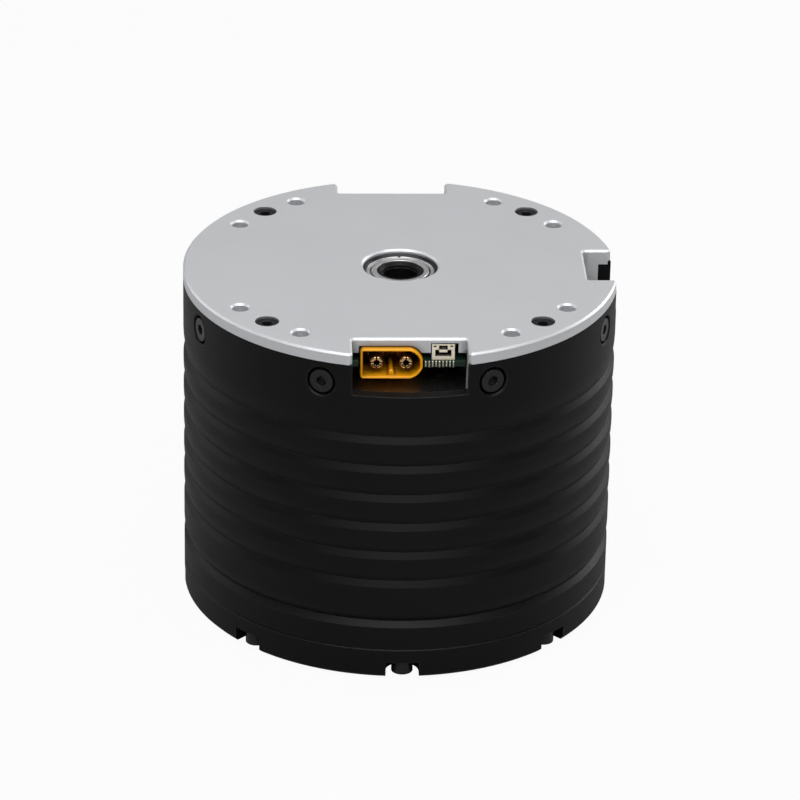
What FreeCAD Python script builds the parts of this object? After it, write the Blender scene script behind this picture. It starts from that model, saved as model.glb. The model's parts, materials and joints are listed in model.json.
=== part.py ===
import FreeCAD, Part
import Sketcher
import math
import os
import re

# Hollow-shaft robot joint actuator: an outer-stator brushless motor drives a single-stage planetary gear
# set inside one ribbed housing. The output flange faces down (-Z) and the silver rear cover faces up (+Z).
# The origin is the centre of the output flange's face. All lengths are in millimetres.
# The pieces are stacked along Z from the flange upwards, and along the radius from the stator outwards.

# Driving dimensions: (alias in the sheet, value).
SIZES = [
    # outer casing
    ("flange_proud", 1.0),
    ("front_cover_height", 8.0),
    ("front_cover_chamfer", 0.8),
    ("seam_chamfer", 0.3),
    ("stator_wall", 5.25),
    ("belt_wall", 3.2),
    ("rear_plate_thickness", 3.0),
    ("edge_chamfer", 0.5),
    ("register_height", 0.9),
    ("register_lip", 0.8),
    # cooling ribs
    ("rib_count", 6),
    ("rib_pitch", 8.05),
    ("rib_depth", 0.9),
    ("rib_ledge", 1.7),
    ("rib_curve_height", 4.15),
    ("belt_height", 13.5),
    ("belt_curve_height", 5.8),
    ("band_height", 6.3),
    ("low_groove_ledge", 1.5),
    ("low_groove_depth", 1.2),
    ("low_groove_curve", 3.7),
    # fits
    ("slip_fit", 0.03),
    ("running_fit", 0.04),
    ("free_gap", 0.3),
    ("screw_head_gap", 0.15),
    ("cut_over", 1.0),
    # windows for the connectors
    ("window_width", 28.7),
    ("window_shift", 0.7),
    ("window_depth", 8.0),
    ("notch_depth", 11.05),
    ("back_notch_depth", 8.85),
    ("notch_corner", 0.9),
    ("side_slot_depth", 8.25),
    ("side_slot_width", 18.2),
    # rear cover
    ("skirt_wall", 3.75),
    ("tap_inset", 3.8),
    ("tap_spread", 12.5),
    ("tap_radius", 2.1),
    ("tap_mouth", 0.5),
    ("tap_depth", 10.0),
    ("rear_boss_wall", 3.0),
    ("rear_boss_lip", 0.85),
    ("rear_bearing_recess", 2.0),
    ("socket_gap", 0.25),
    ("socket_side_gap", 0.9),
    ("skirt_gap_reach", 4.0),
    # screws
    ("small_shank", 1.5),
    ("small_hole", 1.7),
    ("radial_head", 3.0),
    ("radial_head_height", 2.6),
    ("radial_counterbore", 3.7),
    ("radial_counterbore_depth", 2.9),
    ("radial_counterbore_chamfer", 0.25),
    ("radial_screw_drop", 5.5),
    ("radial_screw_length", 8.0),
    ("rear_head", 2.9),
    ("rear_head_height", 1.9),
    ("rear_head_sink", 0.64),
    ("rear_screw_length", 9.0),
    ("front_head", 2.75),
    ("front_head_height", 3.7),
    ("front_tap_radius", 1.65),
    ("front_tap_inset", 4.75),
    ("front_pocket_width", 8.5),
    ("front_pocket_height", 4.2),
    ("front_screw_length", 9.5),
    ("hex_radius", 1.45),
    ("hex_depth", 1.5),
    # output bearing and flange
    ("flange_thickness", 7.0),
    ("flange_rim", 1.8),
    ("flange_relief", 0.5),
    ("flange_register", 15.0),
    ("flange_register_depth", 2.0),
    ("flange_bolt_circle", 28.0),
    ("flange_bolt_depth", 9.0),
    ("seal_width", 1.7),
    ("seal_height", 3.0),
    ("seal_sink", 1.0),
    ("output_bearing_wall", 5.0),
    ("output_bearing_section", 10.0),
    ("output_bearing_width", 10.0),
    ("roller_share", 0.49),
    ("roller_play", 0.3),
    ("roller_pairs", 12),
    # planetary gear set
    ("gear_module", 1.0),
    ("sun_teeth", 18),
    ("planet_teeth", 36),
    ("planet_count", 3),
    ("tooth_thinning", 0.06),
    ("ring_gear_wall", 3.75),
    ("planet_width", 11.0),
    ("planet_side_play", 0.5),
    ("thrust_washer", 0.4),
    ("thrust_washer_radius", 8.0),
    ("planet_pin_radius", 4.0),
    ("planet_pin_grip", 5.0),
    ("planet_bush_wall", 2.0),
    ("carrier_front_thickness", 2.0),
    ("carrier_rear_thickness", 3.0),
    ("carrier_edge", 4.2),
    ("carrier_shaft_gap", 1.0),
    ("post_circle", 33.0),
    ("post_radius", 5.0),
    ("carrier_screw_radius", 2.0),
    ("carrier_head_radius", 3.4),
    ("carrier_head_height", 2.0),
    ("carrier_screw_grip", 4.0),
    # motor
    ("web_gap", 1.0),
    ("web_thickness", 3.0),
    ("web_shoulder", 3.0),
    ("winding_room", 7.0),
    ("winding_height", 3.6),
    ("stator_step", 0.5),
    ("stator_shoulder", 1.5),
    ("stator_bore_radius", 36.0),
    ("stack_length", 20.0),
    ("stator_slots", 24),
    ("tooth_width", 5.0),
    ("tooth_shoe", 1.6),
    ("slot_mouth", 1.6),
    ("stator_yoke", 5.0),
    ("coil_gap", 0.1),
    ("coil_clearance", 0.4),
    ("air_gap", 0.6),
    ("magnet_thickness", 2.4),
    ("magnet_count", 28),
    ("magnet_share", 0.88),
    ("back_iron_wall", 3.0),
    ("rotor_hub_thickness", 5.0),
    ("rotor_hub_holes", 6),
    ("rotor_hub_hole", 6.0),
    ("rotor_bearing_bore", 10.0),
    ("rotor_bearing_outer", 16.0),
    ("rotor_bearing_width", 7.0),
    ("race_wall", 2.1),
    ("bearing_lip", 1.0),
    ("bearing_lip_reach", 3.0),
    ("bearing_boss_wall", 3.5),
    ("shaft_shoulder", 1.5),
    ("shaft_bore_gap", 0.6),
    ("shaft_tail", 2.0),
    ("sun_collar_depth", 6.0),
    ("sun_collar_wall", 1.0),
    ("end_plate_thickness", 4.0),
    # centre tube and its bearing
    ("rear_bearing_bore", 6.0),
    ("rear_bearing_outer", 10.5),
    ("rear_bearing_width", 5.0),
    ("rear_inner_race", 1.5),
    ("rear_outer_race", 1.4),
    ("shield_thickness", 0.4),
    ("shield_sink", 0.25),
    ("tube_bore", 4.5),
    ("tube_sink", 0.8),
    # electronics
    ("bay_height", 12.0),
    ("board_headroom", 2.9),
    ("board_thickness", 1.6),
    ("board_gap", 1.0),
    ("board_tab_overhang", 0.3),
    ("board_hole_gap", 1.0),
    ("standoff_inset", 6.0),
    ("standoff_radius", 2.8),
    ("standoff_floor", 1.0),
    ("board_screw_grip", 4.0),
    ("board_head_height", 1.6),
    ("encoder_magnet_radius", 15.0),
    ("encoder_magnet_height", 2.0),
    ("encoder_magnet_lip", 1.0),
    ("output_magnet_radius", 9.0),
    ("output_magnet_height", 1.5),
    ("phase_lead_width", 4.0),
    ("phase_lead_thickness", 1.5),
    ("phase_lead_inset", 2.5),
    ("phase_lead_gap", 1.0),
    ("transistor_length", 6.0),
    ("transistor_width", 5.0),
    ("transistor_height", 1.0),
    ("transistor_circle", 27.0),
    ("capacitor_radius", 3.15),
    ("capacitor_height", 5.5),
    ("capacitor_circle", 36.0),
    ("chip_size", 5.0),
    ("chip_height", 1.0),
    ("chip_inset", 1.0),
    # power connector
    ("power_centre", -3.75),
    ("power_width", 15.6),
    ("power_height", 8.1),
    ("power_bevel", 3.0),
    ("power_curve", 4.5),
    ("power_wall", 0.7),
    ("power_overhang", 1.2),
    ("power_length", 17.0),
    ("power_cavity", 9.5),
    ("power_sill", 0.6),
    ("power_pin_radius", 1.75),
    ("power_pin_pitch", 7.3),
    ("power_pin_slit", 0.5),
    ("power_pin_sink", 1.0),
    ("power_pin_root", 2.0),
    # signal connector
    ("signal_centre", 9.15),
    ("signal_width", 5.7),
    ("signal_height", 4.35),
    ("signal_setback", 0.3),
    ("signal_length", 4.4),
    ("signal_wall", 0.6),
    ("signal_cavity", 3.4),
    ("signal_pin", 0.5),
    ("signal_pin_sink", 1.0),
    ("signal_pitch", 1.25),
    ("edge_pin_count", 9),
    ("edge_pin_pitch", 0.86),
    ("edge_pin_shift", 0.9),
    ("edge_pin_width", 0.5),
    ("edge_pin_height", 1.5),
    ("edge_pin_depth", 0.6),
]

# Places and sizes that follow from the driving dimensions.
PLACES = {
    # along Z, from the output flange upwards
    "ring_low": "flange_proud",
    "seam": "ring_low + front_cover_height",
    "bearing_low": "flange_thickness",
    "bearing_high": "bearing_low + output_bearing_width",
    "bearing_middle": "bearing_low + output_bearing_width / 2",
    "front_plate_high": "bearing_high + carrier_front_thickness",
    "planet_low": "front_plate_high + planet_side_play",
    "planet_high": "planet_low + planet_width",
    "rear_plate_low": "planet_high + planet_side_play",
    "rear_plate_high": "rear_plate_low + carrier_rear_thickness",
    "web_low": "rear_plate_high + web_gap",
    "web_high": "web_low + web_thickness",
    "front_race_low": "web_low + bearing_lip",
    "front_race_high": "front_race_low + rotor_bearing_width",
    "stator_low": "web_high + winding_room",
    "stator_high": "stator_low + stack_length",
    "stator_middle": "stator_low + stack_length / 2",
    "end_plate_low": "stator_high + winding_room",
    "end_plate_high": "end_plate_low + end_plate_thickness",
    "rear_race_high": "end_plate_high",
    "rear_race_low": "rear_race_high - rotor_bearing_width",
    "shaft_low": "planet_high + 2 * planet_side_play + flange_relief",
    "shaft_high": "end_plate_high + bearing_lip + shaft_tail",
    "plate_low": "end_plate_high + bay_height",
    "register_low": "plate_low - register_height",
    "cover_top": "plate_low + rear_plate_thickness",
    "board_high": "plate_low - board_headroom",
    "board_low": "board_high - board_thickness",
    "window_floor": "plate_low - window_depth",
    "radial_screw_z": "plate_low - radial_screw_drop",
    "rear_bearing_high": "cover_top - rear_bearing_recess",
    "rear_bearing_low": "rear_bearing_high - rear_bearing_width",
    "tube_high": "rear_bearing_high - tube_sink",
    "top_valley": "plate_low - belt_height - belt_curve_height",
    "low_valley": "seam + band_height + low_groove_ledge",
    "flange_register_top": "flange_register_depth",
    "power_low": "window_floor + power_sill",
    # along the radius
    "stator_radius": "gear_bore + stator_step",
    "body_radius": "stator_radius + stator_wall",
    "belt_bore": "body_radius - belt_wall",
    "register_radius": "body_radius - register_lip",
    "notch_edge": "body_radius - notch_depth",
    "back_notch_edge": "body_radius - back_notch_depth",
    "side_slot_edge": "body_radius - side_slot_depth",
    "tap_circle": "belt_bore - tap_inset",
    "front_tap_circle": "body_radius - front_tap_inset",
    "skirt_inner": "tap_circle - skirt_wall",
    "sun_pitch": "gear_module * sun_teeth / 2",
    "planet_pitch": "gear_module * planet_teeth / 2",
    "ring_pitch": "sun_pitch + 2 * planet_pitch",
    "orbit": "sun_pitch + planet_pitch",
    "gear_bore": "ring_pitch + 1.25 * gear_module + ring_gear_wall",
    "web_bore": "gear_bore - web_shoulder",
    "output_bearing_outer": "gear_bore - output_bearing_wall",
    "output_bearing_bore": "output_bearing_outer - output_bearing_section",
    "flange_radius": "carrier_radius + flange_rim",
    "flange_opening": "flange_radius + free_gap + seal_width",
    "roller_diameter": "roller_share * output_bearing_section",
    "roller_length": "roller_diameter - roller_play",
    "roller_circle": "(output_bearing_bore + output_bearing_outer) / 2",
    "carrier_radius": "output_bearing_bore + carrier_edge",
    "boss_radius": "rotor_bearing_outer + bearing_boss_wall",
    "lip_radius": "rotor_bearing_outer - bearing_lip_reach",
    "slot_bottom": "stator_radius - stator_yoke",
    "slot_shoulder": "stator_bore_radius + 1.5 * tooth_shoe",
    "coil_inner": "slot_shoulder + 3 * coil_gap",
    "coil_side": "coil_inner * tan(180 / stator_slots) - tooth_width / 2 - coil_gap - coil_clearance",
    "magnet_outer": "stator_bore_radius - air_gap",
    "magnet_inner": "magnet_outer - magnet_thickness",
    "back_iron_inner": "magnet_inner - back_iron_wall",
    "tube_radius": "rear_bearing_bore - slip_fit",
    "shaft_bore": "rear_bearing_bore + shaft_bore_gap",
    "shaft_radius": "rotor_bearing_bore - slip_fit",
    "cover_screw_circle": "(gear_bore + body_radius - low_groove_depth) / 2",
    "rear_opening": "rear_bearing_outer - rear_boss_lip",
    "rear_boss": "rear_bearing_outer + rear_boss_wall",
    "board_hole": "rear_boss + board_hole_gap",
    "planet_bore": "planet_pin_radius + planet_bush_wall",
    "board_radius": "skirt_inner - board_gap",
    "board_tab_reach": "notch_edge + board_tab_overhang",
    "standoff_circle": "board_radius - standoff_inset",
    "phase_lead_circle": "board_radius - phase_lead_inset",
    "power_face": "board_tab_reach + power_overhang",
    "signal_face": "board_tab_reach - signal_setback",
}
ALIASES = {alias for alias, number in SIZES}

doc = FreeCAD.newDocument("JointActuator")
sheet = doc.addObject("Spreadsheet::Sheet", "Sizes")
for row, (alias, number) in enumerate(SIZES, start=1):
    sheet.set(f"A{row}", alias)
    sheet.set(f"B{row}", str(number))
    sheet.setAlias(f"B{row}", alias)
doc.recompute()

SUBPARTS = []


# ---------------------------------------------------------------- helpers

def bound(text):
    """The expression with each named size and place spelt out for the sheet."""
    def spell(match):
        word = match.group(0)
        if word in PLACES:
            return "(" + bound(PLACES[word]) + ")"
        return "Sizes." + word if word in ALIASES else word
    return re.sub(r"[a-z_]+", spell, text)


def value(text):
    """The number that a bound expression gives."""
    return float(sheet.evalExpression(bound(text)))


def bind(feature, **texts):
    """Binds a feature's properties to the sheet and returns the feature."""
    for prop, text in texts.items():
        feature.setExpression(prop, bound(text))
    return feature


def put(feature, x="0", y="0", z="0", turn=None):
    """Puts a feature at a bound position, turned by a fixed rotation."""
    feature.Placement = FreeCAD.Placement(FreeCAD.Vector(), turn or FreeCAD.Rotation())
    for axis, text in zip("xyz", (x, y, z)):
        feature.setExpression("Placement.Base." + axis, bound(text))
    return feature


def spun(angle, tilt=0.0):
    """A rotation that lays Z over towards +X by tilt, then turns it about Z by angle."""
    about_z = FreeCAD.Rotation(FreeCAD.Vector(0, 0, 1), angle)
    return about_z.multiply(FreeCAD.Rotation(FreeCAD.Vector(0, 1, 0), tilt))


def subpart(label):
    """A new body, which is one node of the assembly. It may hold several separate solids."""
    body = doc.addObject("PartDesign::Body", label)
    body.Label = label
    body.AllowCompound = True
    SUBPARTS.append(body)
    return body


def origin_feature(body, role):
    return next(f for f in body.Origin.OriginFeatures if f.Role == role)


def arc_edge(start, end, radius, side):
    """The arc from start to end, bulging to the side given, with the numbers of its two ends."""
    chord = end - start
    middle = (start + end) * 0.5
    across = FreeCAD.Vector(-chord.y, chord.x, 0).normalize()
    centre = middle + across * (side * math.sqrt(max(radius**2 - (chord.Length / 2) ** 2, 0.0)))
    first = math.atan2(start.y - centre.y, start.x - centre.x)
    last = math.atan2(end.y - centre.y, end.x - centre.x)
    circle = Part.Circle(centre, FreeCAD.Vector(0, 0, 1), radius)
    if side > 0:
        return Part.ArcOfCircle(circle, first, last), (1, 2)
    return Part.ArcOfCircle(circle, last, first), (2, 1)


def outline(body, name, plane, corners, offset="0", turn=0.0):
    """A closed, fully bound sketch. A corner is (u, v), or (u, v, radius, side) before an arc."""
    sketch = body.newObject("Sketcher::SketchObject", name)
    sketch.AttachmentSupport = (origin_feature(body, plane), [""])
    sketch.MapMode = "FlatFace"
    sketch.AttachmentOffset = FreeCAD.Placement(FreeCAD.Vector(), spun(turn))
    sketch.setExpression("AttachmentOffset.Base.z", bound(offset))
    points = [FreeCAD.Vector(value(c[0]), value(c[1]), 0) for c in corners]
    starts = []
    finishes = []
    for i, corner in enumerate(corners):
        after = points[(i + 1) % len(points)]
        if len(corner) == 4:
            edge, ends = arc_edge(points[i], after, value(corner[2]), corner[3])
        else:
            edge, ends = Part.LineSegment(points[i], after), (1, 2)
        sketch.addGeometry(edge, False)
        starts.append(ends[0])
        finishes.append(ends[1])
    for i, finish in enumerate(finishes):
        after = (i + 1) % len(starts)
        sketch.addConstraint(Sketcher.Constraint("Coincident", i, finish, after, starts[after]))
    for i, corner in enumerate(corners):
        for kind, text, number in (("DistanceX", corner[0], points[i].x),
                                   ("DistanceY", corner[1], points[i].y)):
            index = sketch.addConstraint(Sketcher.Constraint(kind, -1, 1, i, starts[i], number))
            sketch.setExpression(f"Constraints[{index}]", bound(text))
        if len(corner) == 4:
            index = sketch.addConstraint(Sketcher.Constraint("Radius", i, value(corner[2])))
            sketch.setExpression(f"Constraints[{index}]", bound(corner[2]))
    return sketch


def revolved(body, name, corners, kind="Revolution"):
    """Turns a profile of (radius, z) corners round the Z axis."""
    sketch = outline(body, name + "Profile", "XZ_Plane", corners)
    feature = body.newObject("PartDesign::" + kind, name)
    feature.Profile = (sketch, [""])
    feature.ReferenceAxis = (sketch, ["V_Axis"])
    feature.Angle = 360
    return feature


def extruded(body, name, plane, corners, offset, length, kind="Pad", turn=0.0):
    """Pads or pockets an outline; the offset is along the plane's own normal."""
    sketch = outline(body, name + "Outline", plane, corners, offset, turn)
    feature = body.newObject("PartDesign::" + kind, name)
    feature.Profile = (sketch, [""])
    if kind == "Pocket":
        feature.Reversed = True
    return bind(feature, Length=length)


def tube(label, inner, outer, low, high):
    """A sub-part that is one plain ring."""
    body = subpart(label)
    revolved(body, label + "Ring", [(inner, low), (outer, low), (outer, high), (inner, high)])
    return body


def cylinder(body, name, kind, radius, height, **place):
    feature = body.newObject(f"PartDesign::{kind}Cylinder", name)
    return put(bind(feature, Radius=radius, Height=height), **place)


def block(body, name, kind, length, width, height, **place):
    feature = body.newObject(f"PartDesign::{kind}Box", name)
    return put(bind(feature, Length=length, Width=width, Height=height), **place)


def hex_socket(body, name, turn=None, **place):
    feature = body.newObject("PartDesign::SubtractivePrism", name)
    feature.Polygon = 6
    return put(bind(feature, Circumradius="hex_radius", Height="hex_depth"), turn=turn, **place)


def around(body, name, features, count):
    """Repeats features evenly round the Z axis."""
    pattern = body.newObject("PartDesign::PolarPattern", name)
    pattern.Originals = features
    pattern.Axis = (origin_feature(body, "Z_Axis"), [""])
    pattern.Angle = 360
    bind(pattern, Occurrences=str(count))
    body.Tip = pattern
    doc.recompute()
    return pattern


def polar(circle, angle):
    """The x and y expressions of a point on a circle round Z."""
    return {"x": f"({circle}) * cos({angle})", "y": f"({circle}) * sin({angle})"}


def radial(body, name, kind, radius, start, length, z):
    """Eight cylinders that point outwards, half way between the front screws."""
    for k in range(8):
        angle = 22.5 + 45 * k
        cylinder(body, f"{name}{k + 1}", kind, radius, length, turn=spun(angle, 90), z=z,
                 **polar(start, str(angle)))


def power_profile(gap):
    """Front view of the power connector, widened by a gap: square on its left side, rounded on its right."""
    left = f"power_centre - power_width / 2 - ({gap})"
    right = f"power_centre + power_width / 2 + ({gap})"
    low = f"power_low - ({gap})"
    high = f"power_low + power_height + ({gap})"
    curve = f"power_curve + ({gap})"
    return [
        (left, low),
        (f"{right} - power_bevel", low, curve, 1),
        (right, f"{low} + power_bevel"),
        (right, f"{high} - power_bevel", curve, 1),
        (f"{right} - power_bevel", high),
        (left, high),
    ]


# ---------------------------------------------------------------- casing

def make_housing():
    body = subpart("housing")
    curve = "(({0})^2 + ({1})^2) / (2 * ({1}))"
    low_curve = curve.format("low_groove_curve", "low_groove_depth")
    corners = [
        ("gear_bore", "seam"),
        ("body_radius - seam_chamfer", "seam"),
        ("body_radius", "seam + seam_chamfer"),
        ("body_radius", "seam + band_height"),
        ("body_radius - low_groove_depth", "low_valley", low_curve, 1),
        ("body_radius", "low_valley + low_groove_curve"),
    ]
    ribs = int(value("rib_count"))
    for k in range(ribs):
        valley = f"top_valley - {ribs - 1 - k} * rib_pitch"
        height = "belt_curve_height" if k == ribs - 1 else "rib_curve_height"
        corners += [
            ("body_radius", f"{valley} - rib_ledge"),
            ("body_radius - rib_depth", valley, curve.format(height, "rib_depth"), 1),
            ("body_radius", f"{valley} + {height}"),
        ]
    corners += [
        ("body_radius", "plate_low"),
        ("register_radius", "plate_low"),
        ("register_radius", "register_low"),
        ("belt_bore", "register_low"),
        ("belt_bore", "end_plate_low"),
        ("stator_radius + slip_fit", "end_plate_low"),
        ("stator_radius + slip_fit", "stator_low"),
        ("stator_radius - stator_shoulder", "stator_low"),
        ("stator_radius - stator_shoulder", "web_high"),
        ("boss_radius", "web_high"),
        ("boss_radius", "front_race_high"),
        ("rotor_bearing_outer + slip_fit", "front_race_high"),
        ("rotor_bearing_outer + slip_fit", "front_race_low"),
        ("lip_radius", "front_race_low"),
        ("lip_radius", "web_low"),
        ("web_bore", "web_low"),
        ("web_bore", "rear_plate_low"),
        ("gear_bore", "rear_plate_low"),
    ]
    revolved(body, "Shell", corners)
    block(body, "ConnectorWindow", "Subtractive", "window_width", "body_radius - notch_edge + cut_over",
          "window_depth + cut_over", x="window_shift - window_width / 2", y="-body_radius - cut_over",
          z="window_floor")
    block(body, "BackWindow", "Subtractive", "window_width", "body_radius - back_notch_edge + cut_over",
          "window_depth + cut_over", x="-window_shift - window_width / 2", y="back_notch_edge",
          z="window_floor")
    block(body, "SideWindow", "Subtractive", "body_radius - side_slot_edge + cut_over", "side_slot_width",
          "window_depth + cut_over", x="side_slot_edge", y="-side_slot_width / 2", z="window_floor")
    radial(body, "RadialHole", "Subtractive", "small_hole", "belt_bore - cut_over",
           "belt_wall + 2 * cut_over", "radial_screw_z")
    radial(body, "RadialCounterbore", "Subtractive", "radial_counterbore",
           "body_radius - radial_counterbore_depth", "radial_counterbore_depth + cut_over", "radial_screw_z")
    rim = "sqrt(body_radius^2 - radial_counterbore^2) - radial_counterbore_chamfer"
    for k in range(8):
        angle = 22.5 + 45 * k
        cone = body.newObject("PartDesign::SubtractiveCone", f"CounterboreRim{k + 1}")
        bind(cone, Radius1="radial_counterbore", Radius2="radial_counterbore + cut_over", Height="cut_over")
        put(cone, z="radial_screw_z", turn=spun(angle, 90), **polar(rim, str(angle)))
    thread = cylinder(body, "FrontThread", "Subtractive", "small_shank + slip_fit",
                      "front_screw_length - front_cover_height + front_pocket_height + cut_over",
                      x="cover_screw_circle", z="seam")
    around(body, "FrontThreads", [thread], 8)


def make_front_cover():
    body = subpart("front_cover")
    revolved(body, "Ring", [
        ("flange_opening", "ring_low"),
        ("body_radius - front_cover_chamfer", "ring_low"),
        ("body_radius", "ring_low + front_cover_chamfer"),
        ("body_radius", "seam - seam_chamfer"),
        ("body_radius - seam_chamfer", "seam"),
        ("gear_bore - slip_fit", "seam"),
        ("gear_bore - slip_fit", "bearing_high"),
        ("output_bearing_outer + slip_fit", "bearing_high"),
        ("output_bearing_outer + slip_fit", "bearing_low"),
        ("flange_opening", "bearing_low"),
    ])
    pocket = cylinder(body, "ScrewPocket", "Subtractive", "front_pocket_width / 2",
                      "front_pocket_height + cut_over", x="cover_screw_circle", z="ring_low - cut_over")
    mouth = block(body, "PocketMouth", "Subtractive", "body_radius - cover_screw_circle + cut_over",
                  "front_pocket_width", "front_pocket_height + cut_over", x="cover_screw_circle",
                  y="-front_pocket_width / 2", z="ring_low - cut_over")
    hole = cylinder(body, "ScrewHole", "Subtractive", "small_hole", "front_cover_height",
                    x="cover_screw_circle", z="ring_low + cut_over")
    around(body, "ScrewPockets", [pocket, mouth, hole], 8)
    tap = cylinder(body, "MountingThread", "Subtractive", "front_tap_radius", "front_cover_height",
                   z="ring_low - cut_over", **polar("front_tap_circle", "22.5"))
    around(body, "MountingThreads", [tap], 8)


def cut_notches(body, name, low, height):
    """Cuts the front and back notches and the side slot, and returns the last cut."""
    reach = "body_radius - notch_edge + cut_over"
    block(body, f"Front{name}", "Subtractive", "window_width", reach, height,
          x="window_shift - window_width / 2", y="-body_radius - cut_over", z=low)
    reach = "body_radius - back_notch_edge + cut_over"
    block(body, f"Back{name}", "Subtractive", "window_width", reach, height,
          x="-window_shift - window_width / 2", y="back_notch_edge", z=low)
    return block(body, f"Side{name}", "Subtractive", "body_radius - side_slot_edge + cut_over",
                 "side_slot_width", height, x="side_slot_edge", y="-side_slot_width / 2", z=low)


def make_rear_cover():
    body = subpart("rear_cover")
    revolved(body, "Plate", [
        ("rear_opening", "plate_low"),
        ("body_radius", "plate_low"),
        ("body_radius", "cover_top"),
        ("rear_opening", "cover_top"),
    ])
    last = cut_notches(body, "Notch", "plate_low - cut_over", "rear_plate_thickness + 2 * cut_over")
    doc.recompute()
    near = value("skirt_inner - skirt_gap_reach")
    upright = [f"Edge{i}" for i, edge in enumerate(body.Shape.Edges, start=1)
               if edge.BoundBox.XLength + edge.BoundBox.YLength < 1e-6
               and math.hypot(edge.CenterOfMass.x, edge.CenterOfMass.y) > near]
    fillet = body.newObject("PartDesign::Fillet", "NotchCorners")
    fillet.Base = (last, upright)
    bind(fillet, Radius="notch_corner")
    doc.recompute()
    top = value("cover_top")
    rim = [f"Edge{i}" for i, edge in enumerate(body.Shape.Edges, start=1)
           if abs(edge.BoundBox.ZMin - top) < 1e-6 and abs(edge.BoundBox.ZMax - top) < 1e-6]
    chamfer = body.newObject("PartDesign::Chamfer", "TopEdges")
    chamfer.Base = (fillet, rim)
    bind(chamfer, Size="edge_chamfer")
    revolved(body, "Register", [
        ("rear_opening", "register_low"),
        ("register_radius - slip_fit", "register_low"),
        ("register_radius - slip_fit", "plate_low"),
        ("rear_opening", "plate_low"),
    ])
    cut_notches(body, "RegisterNotch", "register_low - cut_over", "register_height + cut_over")
    revolved(body, "Skirt", [
        ("skirt_inner", "end_plate_high"),
        ("belt_bore - slip_fit", "end_plate_high"),
        ("belt_bore - slip_fit", "register_low"),
        ("skirt_inner", "register_low"),
    ])
    revolved(body, "BearingBoss", [
        ("rear_bearing_outer + slip_fit", "rear_bearing_low - bearing_lip"),
        ("rear_boss", "rear_bearing_low - bearing_lip"),
        ("rear_boss", "register_low"),
        ("rear_bearing_outer + slip_fit", "register_low"),
    ])
    revolved(body, "BearingSeat", [
        ("0", "rear_bearing_low - 2 * bearing_lip"),
        ("rear_bearing_outer + slip_fit", "rear_bearing_low - 2 * bearing_lip"),
        ("rear_bearing_outer + slip_fit", "rear_bearing_high"),
        ("0", "rear_bearing_high"),
    ], "Groove")
    deep = "bay_height - register_height + cut_over"
    for name, x, y in (("FrontGap", "window_shift - window_width / 2", "-body_radius"),
                       ("BackGap", "-window_shift - window_width / 2", "skirt_inner - skirt_gap_reach")):
        block(body, name, "Subtractive", "window_width", "body_radius - skirt_inner + skirt_gap_reach", deep,
              x=x, y=y, z="end_plate_high - cut_over")
    for name, x in (("RightGap", "skirt_inner - skirt_gap_reach"), ("LeftGap", "-body_radius")):
        block(body, name, "Subtractive", "body_radius - skirt_inner + skirt_gap_reach", "side_slot_width",
              deep, x=x, y="-side_slot_width / 2", z="end_plate_high - cut_over")
    reach = "(power_length + socket_gap)"
    extruded(body, "PowerRelief", "XZ_Plane", power_profile("socket_gap"),
             f"power_face - {reach}", f"{reach} + cut_over", "Pocket")
    block(body, "SignalRelief", "Subtractive", "signal_width + socket_gap + socket_side_gap",
          "signal_length + socket_gap + cut_over", "signal_height + socket_gap",
          x="signal_centre - signal_width / 2 - socket_gap", y="-signal_face - cut_over", z="board_high")
    for side in ("-", "+"):
        angle = f"45 {side} tap_spread"
        name = "Left" if side == "-" else "Right"
        tap = cylinder(body, f"{name}Thread", "Subtractive", "tap_radius", "tap_depth + cut_over",
                       z="cover_top - tap_depth", **polar("tap_circle", angle))
        mouth = body.newObject("PartDesign::SubtractiveCone", f"{name}Mouth")
        bind(mouth, Radius1="tap_radius", Radius2="tap_radius + tap_mouth", Height="tap_mouth")
        put(mouth, z="cover_top - tap_mouth", **polar("tap_circle", angle))
        around(body, f"{name}Threads", [tap, mouth], 4)
    head = cylinder(body, "HeadBore", "Subtractive", "rear_head + screw_head_gap",
                    "rear_head_sink + rear_head_height + cut_over",
                    z="cover_top - rear_head_sink - rear_head_height", **polar("tap_circle", "45"))
    shank = cylinder(body, "ShankBore", "Subtractive", "small_hole", "rear_screw_length + cut_over",
                     z="cover_top - rear_head_sink - rear_head_height - rear_screw_length",
                     **polar("tap_circle", "45"))
    around(body, "CoverScrewHoles", [head, shank], 4)
    radial(body, "RadialThread", "Subtractive", "small_shank + slip_fit", "skirt_inner - cut_over",
           "belt_bore - skirt_inner + 2 * cut_over", "radial_screw_z")


def make_front_cover_screws():
    body = subpart("front_cover_screws")
    low = "ring_low + front_pocket_height - front_head_height"
    head = cylinder(body, "Head", "Additive", "front_head", "front_head_height",
                    x="cover_screw_circle", z=low)
    shank = cylinder(body, "Shank", "Additive", "small_shank", "front_screw_length",
                     x="cover_screw_circle", z="ring_low + front_pocket_height")
    socket = hex_socket(body, "Socket", x="cover_screw_circle", z=low)
    around(body, "Screws", [head, shank, socket], 8)


def make_radial_screws():
    body = subpart("radial_screws")
    seat = "body_radius - radial_counterbore_depth"
    radial(body, "Head", "Additive", "radial_head", seat, "radial_head_height", "radial_screw_z")
    radial(body, "Shank", "Additive", "small_shank", f"{seat} - radial_screw_length",
           "radial_screw_length + radial_head_height - hex_depth", "radial_screw_z")
    for k in range(8):
        angle = 22.5 + 45 * k
        hex_socket(body, f"Socket{k + 1}", turn=spun(angle, 90), z="radial_screw_z",
                   **polar(f"{seat} + radial_head_height - hex_depth", str(angle)))


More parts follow.
